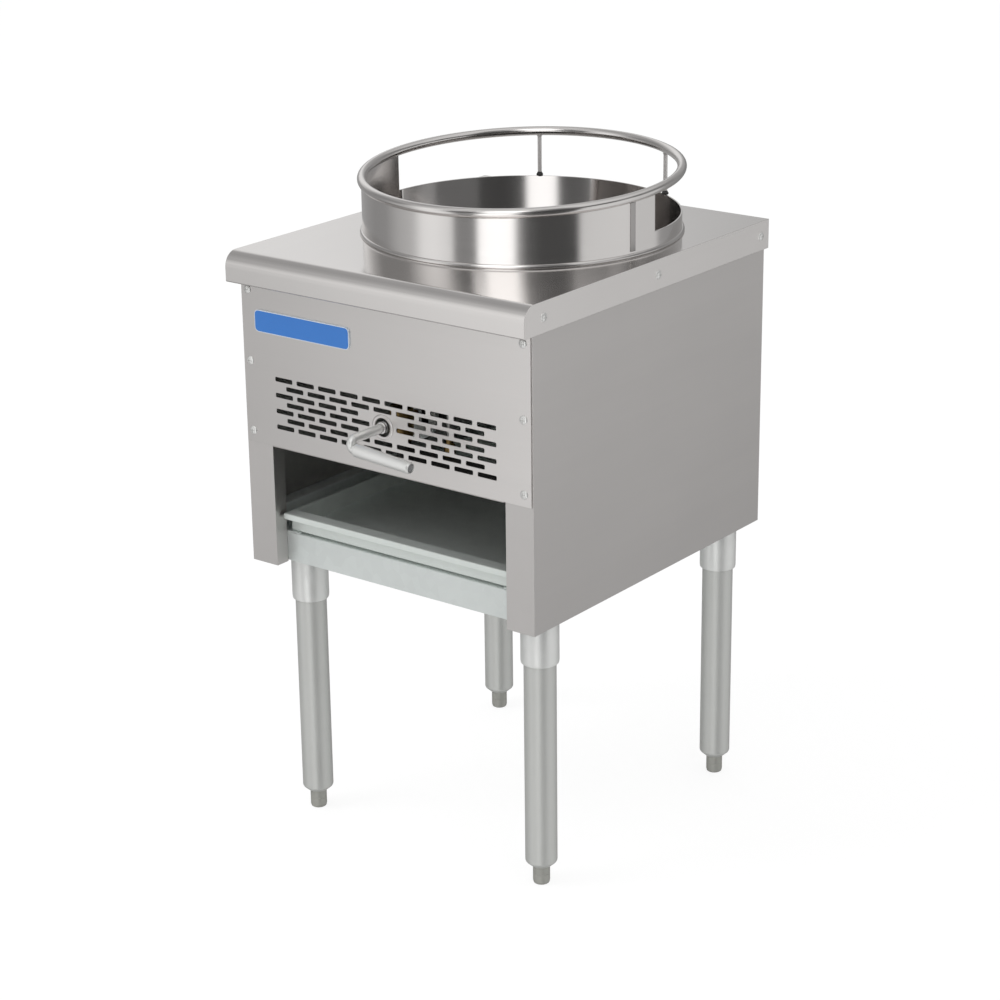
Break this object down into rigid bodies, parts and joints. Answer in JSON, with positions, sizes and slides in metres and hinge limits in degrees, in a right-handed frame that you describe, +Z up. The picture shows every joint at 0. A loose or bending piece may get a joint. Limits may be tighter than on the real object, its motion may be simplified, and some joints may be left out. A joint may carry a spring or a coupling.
{
  "type": "wok range",
  "caption": "Floor-standing gas wok range with one round chamber and guard ring in a steel deck, slotted front, lever valve, sliding drip tray and adjustable legs.",
  "frame": {"origin": "on the floor, under the middle of the bounding box", "axes": "+Z up, the front with the valve lever faces -Y, +X is the right side seen from the front"},
  "size_m": [0.4718, 0.6054, 0.8788],
  "materials": {
    "panel_steel": "satin stainless sheet, grain left to right",
    "side_steel": "satin stainless sheet, grain left to right",
    "polished_steel": "bright polished stainless",
    "galvanised": "dull zinc coating",
    "leg_steel": "satin tube, grain along the leg",
    "tray_steel": "dull aluminised sheet",
    "cast_iron": "rough casting, dark",
    "brass": "turned brass",
    "black_pipe": "black iron pipe",
    "tube_aluminium": "drawn tube",
    "bright_plated": "bright plating",
    "plate_blue": "blue enamel with a pale edge",
    "plug_black": "dark moulded plug"
  },
  "bodies": {
    "cabinet": {"deck_top": "polished_steel", "side_panel_left": "side_steel", "side_panel_right": "side_steel", "back_panel": "galvanised", "front_panel": "panel_steel", "name_plate": "plate_blue", "stem_bezel": "bright_plated", "front_lower_rail": "galvanised", "rear_lower_rail": "galvanised", "base_channel_left": "galvanised", "base_channel_right": "galvanised", "tray_runner_left": "galvanised", "tray_runner_right": "galvanised", "wok_ring_wall": "polished_steel", "wok_ring_rim": "polished_steel", "rim_rod_right": "polished_steel", "rim_rod_left": "polished_steel", "deck_collar": "polished_steel", "chamber_floor": "galvanised", "burner_head": "cast_iron", "burner_venturi": "cast_iron", "burner_bracket": "galvanised", "gas_valve_body": "brass", "valve_bonnet": "bright_plated", "gas_pipe": "black_pipe", "gas_inlet_nut": "black_pipe", "pilot_valve": "brass", "pilot_tube": "tube_aluminium", "pilot_burner": "cast_iron", "leg_socket_front_left": "galvanised", "leg_tube_front_left": "leg_steel", "leg_socket_front_right": "galvanised", "leg_tube_front_right": "leg_steel", "leg_socket_rear_left": "galvanised", "leg_tube_rear_left": "leg_steel", "leg_socket_rear_right": "galvanised", "leg_tube_rear_right": "leg_steel", "panel_screw_top_left": "bright_plated", "panel_screw_middle_left": "bright_plated", "panel_screw_bottom_left": "bright_plated", "panel_screw_top_right": "bright_plated", "panel_screw_middle_right": "bright_plated", "panel_screw_bottom_right": "bright_plated", "skirt_screw_front_left": "bright_plated", "skirt_screw_middle_left": "bright_plated", "skirt_screw_rear_left": "bright_plated", "skirt_screw_front_right": "bright_plated", "skirt_screw_middle_right": "bright_plated", "skirt_screw_rear_right": "bright_plated"},
    "lever": {"valve_stem": "brass", "lever_arm": "bright_plated", "lever_grip": "bright_plated", "grip_plug": "plug_black"},
    "tray": {"drip_tray": "tray_steel"},
    "shutter": {"air_shutter": "galvanised"},
    "foot_front_left": {"leg_foot_front_left": "leg_steel"},
    "foot_front_right": {"leg_foot_front_right": "leg_steel"},
    "foot_rear_left": {"leg_foot_rear_left": "leg_steel"},
    "foot_rear_right": {"leg_foot_rear_right": "leg_steel"}
  },
  "joints": [
    {"name": "lever_turn", "type": "hinge", "parent": "cabinet", "child": "lever", "pos_m": [0, -0.2368, 0.5937], "axis": [0, 1, 0], "range_deg": [0, 85]},
    {"name": "tray_slide", "type": "slide", "parent": "cabinet", "child": "tray", "axis": [0, -1, 0], "range_m": [0, 0.4]},
    {"name": "shutter_turn", "type": "hinge", "parent": "cabinet", "child": "shutter", "pos_m": [0, -0.1688, 0.5937], "axis": [0, 1, 0], "range_deg": [0, 60]},
    {"name": "foot_front_left_height", "type": "slide", "parent": "cabinet", "child": "foot_front_left", "axis": [0, 0, -1], "range_m": [-0.012, 0.015]},
    {"name": "foot_front_right_height", "type": "slide", "parent": "cabinet", "child": "foot_front_right", "axis": [0, 0, -1], "range_m": [-0.012, 0.015]},
    {"name": "foot_rear_left_height", "type": "slide", "parent": "cabinet", "child": "foot_rear_left", "axis": [0, 0, -1], "range_m": [-0.012, 0.015]},
    {"name": "foot_rear_right_height", "type": "slide", "parent": "cabinet", "child": "foot_rear_right", "axis": [0, 0, -1], "range_m": [-0.012, 0.015]}
  ]
}
